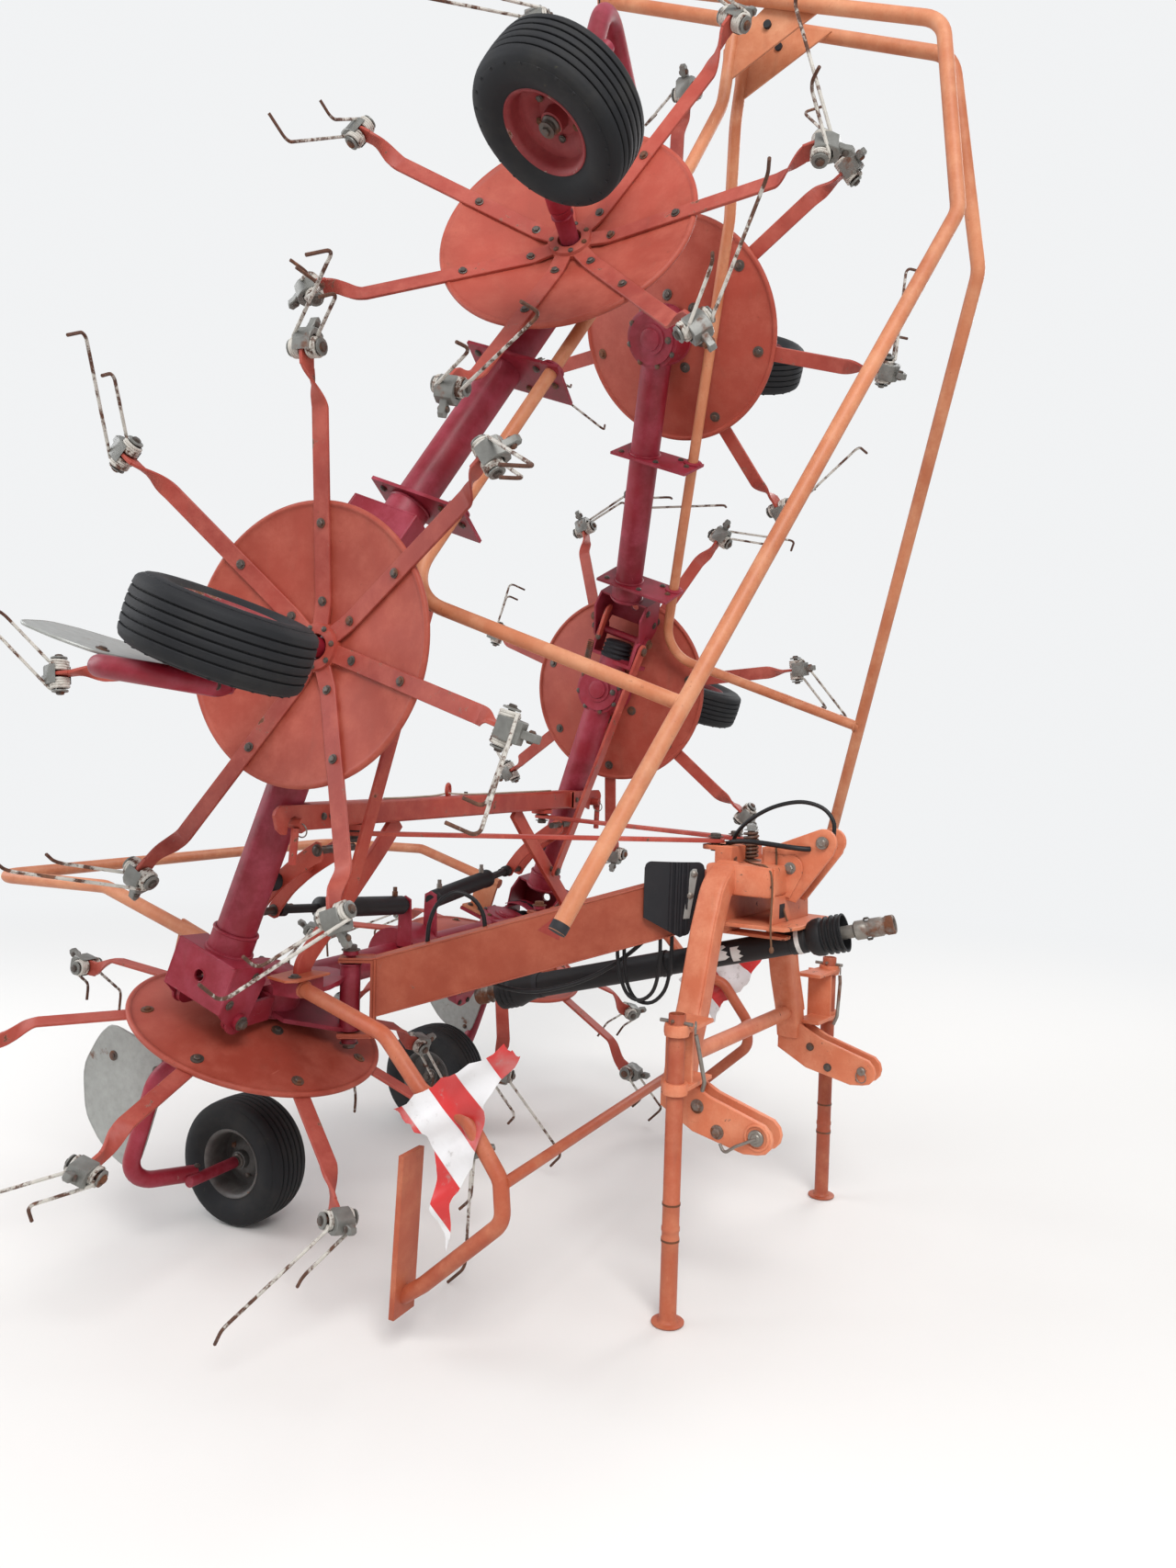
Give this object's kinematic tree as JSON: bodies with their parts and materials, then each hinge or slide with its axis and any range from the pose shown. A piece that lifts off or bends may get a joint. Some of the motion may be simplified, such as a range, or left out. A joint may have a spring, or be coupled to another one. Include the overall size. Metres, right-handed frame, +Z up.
{
  "type": "folded hay tedder",
  "caption": "Mounted rotary hay tedder folded for transport: tined rotors on hinged wings, wheel legs, guard tubes, swinging headstock with parking stands.",
  "frame": {"origin": "middle of the outline on the ground, under the folded machine as parked", "axes": "+X towards the tractor, +Y to the left of travel, +Z up"},
  "size_m": [2.9456, 3.4666, 4.0856],
  "materials": {
    "disc_red": "faded, chipped",
    "tine_steel": "worn, rusty",
    "crimson": "satin",
    "frame_red": "satin",
    "guard_orange": "worn, scratched",
    "boom_brown": "satin, chipped",
    "tyre": "dusty",
    "rim_grey": "dull",
    "rim_red": "satin",
    "pin_steel": "worn",
    "black_plastic": "matte",
    "black_rubber": "matte",
    "sheet_white": "reflective stripes"
  },
  "bodies": {
    "frame": {"centre_frame": "crimson", "upper_frame": "frame_red", "front_guard": "guard_orange", "rear_guard": "guard_orange", "warning_sheet_left": "sheet_white", "warning_sheet_right": "sheet_white"},
    "inner_left": {"inner_wing_left": "crimson"},
    "outer_left": {"outer_wing_left": "crimson", "wing_guard_left": "guard_orange"},
    "inner_right": {"inner_wing_right": "crimson"},
    "outer_right": {"outer_wing_right": "crimson", "wing_guard_right": "guard_orange"},
    "rotor_right_centre": {"rotor_right_centre": "disc_red", "tines_right_centre": "tine_steel"},
    "rotor_left_centre": {"rotor_left_centre": "disc_red", "tines_left_centre": "tine_steel"},
    "rotor_right_inner": {"rotor_right_inner": "disc_red", "tines_right_inner": "tine_steel"},
    "rotor_left_inner": {"rotor_left_inner": "disc_red", "tines_left_inner": "tine_steel"},
    "rotor_right_outer": {"rotor_right_outer": "disc_red", "tines_right_outer": "tine_steel"},
    "rotor_left_outer": {"rotor_left_outer": "disc_red", "tines_left_outer": "tine_steel"},
    "leg_left_centre": {"leg_left_centre": "crimson"},
    "wheel_left_centre": {"tyre_left_centre": "tyre", "rim_left_centre": "rim_grey"},
    "leg_right_centre": {"leg_right_centre": "crimson"},
    "wheel_right_centre": {"tyre_right_centre": "tyre", "rim_right_centre": "rim_grey"},
    "leg_left_inner": {"leg_left_inner": "crimson"},
    "wheel_left_inner": {"tyre_left_inner": "tyre", "rim_left_inner": "rim_red"},
    "leg_right_inner": {"leg_right_inner": "crimson"},
    "wheel_right_inner": {"tyre_right_inner": "tyre", "rim_right_inner": "rim_red"},
    "leg_left_outer": {"leg_left_outer": "crimson"},
    "wheel_left_outer": {"tyre_left_outer": "tyre", "rim_left_outer": "rim_red"},
    "leg_right_outer": {"leg_right_outer": "crimson"},
    "wheel_right_outer": {"tyre_right_outer": "tyre", "rim_right_outer": "rim_red"},
    "strut_left": {"lock_strut_left": "frame_red"},
    "strut_right": {"lock_strut_right": "frame_red"},
    "boom_right": {"boom_right": "boom_brown", "sway_bar_right": "frame_red", "hose_flap": "black_rubber"},
    "boom_left": {"boom_left": "boom_brown", "sway_bar_left": "frame_red"},
    "headstock": {"headstock": "guard_orange", "hitch_pins": "pin_steel", "top_link_pin": "pin_steel"},
    "stand_left": {"stand_left": "frame_red"},
    "stand_right": {"stand_right": "frame_red"},
    "shaft_guard": {"shaft_guard": "black_plastic"},
    "drive_shaft": {"drive_shaft": "pin_steel"}
  },
  "joints": [
    {"name": "inner_fold_left", "type": "hinge", "parent": "frame", "child": "inner_left", "pos_m": [-0.41917, 0.955, 0.81743], "axis": [0.9418, 0, -0.3363], "range_deg": [-94.2, 0]},
    {"name": "outer_fold_left", "type": "hinge", "parent": "inner_left", "child": "outer_left", "pos_m": [0.02017, 0.85906, 2.04783], "axis": [0.9418, 0, -0.3363], "range_deg": [-22.8, 0]},
    {"name": "inner_fold_right", "type": "hinge", "parent": "frame", "child": "inner_right", "pos_m": [-0.41917, -0.955, 0.81743], "axis": [-0.9418, 0, 0.3363], "range_deg": [-94.2, 0]},
    {"name": "outer_fold_right", "type": "hinge", "parent": "inner_right", "child": "outer_right", "pos_m": [0.02017, -0.85906, 2.04783], "axis": [-0.9418, 0, 0.3363], "range_deg": [-22.8, 0]},
    {"name": "rotor_turn_right_centre", "type": "hinge", "parent": "frame", "child": "rotor_right_centre", "pos_m": [-0.46288, -0.71, 0.695], "axis": [0.3363, 0, 0.9418], "continuous": true},
    {"name": "rotor_turn_left_centre", "type": "hinge", "parent": "frame", "child": "rotor_left_centre", "pos_m": [-0.46288, 0.71, 0.695], "axis": [0.3363, 0, 0.9418], "continuous": true},
    {"name": "rotor_turn_right_inner", "type": "hinge", "parent": "inner_right", "child": "rotor_right_inner", "pos_m": [-0.05544, -1.00592, 1.83607], "axis": [-0.0246, 0.9973, -0.069], "continuous": true},
    {"name": "rotor_turn_left_inner", "type": "hinge", "parent": "inner_left", "child": "rotor_left_inner", "pos_m": [-0.05544, 1.00592, 1.83607], "axis": [-0.0246, -0.9973, -0.069], "continuous": true},
    {"name": "rotor_turn_right_outer", "type": "hinge", "parent": "outer_right", "child": "rotor_right_outer", "pos_m": [0.39207, -0.44145, 3.08937], "axis": [-0.1527, 0.891, -0.4276], "continuous": true},
    {"name": "rotor_turn_left_outer", "type": "hinge", "parent": "outer_left", "child": "rotor_left_outer", "pos_m": [0.39207, 0.44145, 3.08937], "axis": [-0.1527, -0.891, -0.4276], "continuous": true},
    {"name": "leg_turn_left_centre", "type": "hinge", "parent": "frame", "child": "leg_left_centre", "pos_m": [-0.46288, 0.71, 0.695], "axis": [0.3363, 0, 0.9418], "range_deg": [-20, 20]},
    {"name": "wheel_turn_left_centre", "type": "hinge", "parent": "leg_left_centre", "child": "wheel_left_centre", "pos_m": [-0.63774, 0.56, 0.20528], "axis": [0, 1, 0], "continuous": true},
    {"name": "leg_turn_right_centre", "type": "hinge", "parent": "frame", "child": "leg_right_centre", "pos_m": [-0.46288, -0.71, 0.695], "axis": [0.3363, 0, 0.9418], "range_deg": [-20, 20]},
    {"name": "wheel_turn_right_centre", "type": "hinge", "parent": "leg_right_centre", "child": "wheel_right_centre", "pos_m": [-0.63774, -0.56, 0.20528], "axis": [0, 1, 0], "continuous": true},
    {"name": "leg_turn_left_inner", "type": "hinge", "parent": "inner_left", "child": "leg_left_inner", "pos_m": [-0.05544, 1.00592, 1.83607], "axis": [-0.0246, -0.9973, -0.069], "range_deg": [-60, 60]},
    {"name": "wheel_turn_left_inner", "type": "hinge", "parent": "leg_left_inner", "child": "wheel_left_inner", "pos_m": [0.09863, 1.52452, 1.8215], "axis": [0.3354, -0.0732, 0.9392], "continuous": true},
    {"name": "leg_turn_right_inner", "type": "hinge", "parent": "inner_right", "child": "leg_right_inner", "pos_m": [-0.05544, -1.00592, 1.83607], "axis": [-0.0246, 0.9973, -0.069], "range_deg": [-60, 60]},
    {"name": "wheel_turn_right_inner", "type": "hinge", "parent": "leg_right_inner", "child": "wheel_right_inner", "pos_m": [0.14101, -1.52452, 1.80637], "axis": [-0.3354, -0.0732, -0.9392], "continuous": true},
    {"name": "leg_turn_left_outer", "type": "hinge", "parent": "outer_left", "child": "leg_left_outer", "pos_m": [0.39207, 0.44145, 3.08937], "axis": [-0.1527, -0.891, -0.4276], "range_deg": [-60, 60]},
    {"name": "wheel_turn_left_outer", "type": "hinge", "parent": "leg_left_outer", "child": "wheel_left_outer", "pos_m": [0.49407, 0.98468, 3.13711], "axis": [0.2996, -0.454, 0.8391], "continuous": true},
    {"name": "leg_turn_right_outer", "type": "hinge", "parent": "outer_right", "child": "leg_right_outer", "pos_m": [0.39207, -0.44145, 3.08937], "axis": [-0.1527, 0.891, -0.4276], "range_deg": [-60, 60]},
    {"name": "wheel_turn_right_outer", "type": "hinge", "parent": "leg_right_outer", "child": "wheel_right_outer", "pos_m": [0.64757, -0.98468, 3.0823], "axis": [-0.2996, -0.454, -0.8391], "continuous": true},
    {"name": "strut_turn_left", "type": "hinge", "parent": "frame", "child": "strut_left", "pos_m": [-0.16592, 0.68, 1.0806], "axis": [0.9418, 0, -0.3363], "range_deg": [-94.2, 0]},
    {"name": "strut_turn_right", "type": "hinge", "parent": "frame", "child": "strut_right", "pos_m": [-0.16592, -0.68, 1.0806], "axis": [-0.9418, 0, 0.3363], "range_deg": [-94.2, 0]},
    {"name": "boom_swing_right", "type": "hinge", "parent": "frame", "child": "boom_right", "pos_m": [-0.19188, -0.606, 0.8], "axis": [0, 0, 1], "range_deg": [-4, 4]},
    {"name": "headstock_swing", "type": "hinge", "parent": "boom_right", "child": "headstock", "pos_m": [0.75571, 0.00135, 1.1], "axis": [0, 0, 1], "range_deg": [-5, 17]},
    {"name": "boom_swing_left", "type": "hinge", "parent": "frame", "child": "boom_left", "pos_m": [-0.19188, 0.606, 0.8], "axis": [0, 0, 1], "range_deg": [-4, 4]},
    {"name": "stand_slide_left", "type": "slide", "parent": "headstock", "child": "stand_left", "axis": [0, 0, 1], "range_m": [0, 0.3]},
    {"name": "stand_slide_right", "type": "slide", "parent": "headstock", "child": "stand_right", "axis": [0, 0, 1], "range_m": [0, 0.3]},
    {"name": "guard_swing", "type": "hinge", "parent": "frame", "child": "shaft_guard", "pos_m": [-0.00188, 0, 0.73], "axis": [0, 0, 1], "range_deg": [-4, 4]},
    {"name": "shaft_turn", "type": "hinge", "parent": "shaft_guard", "child": "drive_shaft", "pos_m": [-0.00188, 0, 0.73], "axis": [0.9648, 0, 0.2629], "continuous": true}
  ],
  "couplings": [
    {"joint": "rotor_turn_left_centre", "follows": "rotor_turn_right_centre", "ratio": -1},
    {"joint": "rotor_turn_right_inner", "follows": "rotor_turn_right_centre", "ratio": -1},
    {"joint": "rotor_turn_left_inner", "follows": "rotor_turn_right_centre", "ratio": 1},
    {"joint": "rotor_turn_right_outer", "follows": "rotor_turn_right_centre", "ratio": 1},
    {"joint": "rotor_turn_left_outer", "follows": "rotor_turn_right_centre", "ratio": -1},
    {"joint": "strut_turn_left", "follows": "inner_fold_left", "ratio": 1},
    {"joint": "strut_turn_right", "follows": "inner_fold_right", "ratio": 1},
    {"joint": "boom_swing_right", "follows": "headstock_swing", "ratio": -0.125},
    {"joint": "boom_swing_left", "follows": "headstock_swing", "ratio": -0.1058},
    {"joint": "guard_swing", "follows": "headstock_swing", "ratio": 0.137},
    {"joint": "shaft_turn", "follows": "rotor_turn_right_centre", "ratio": -3.2}
  ]
}
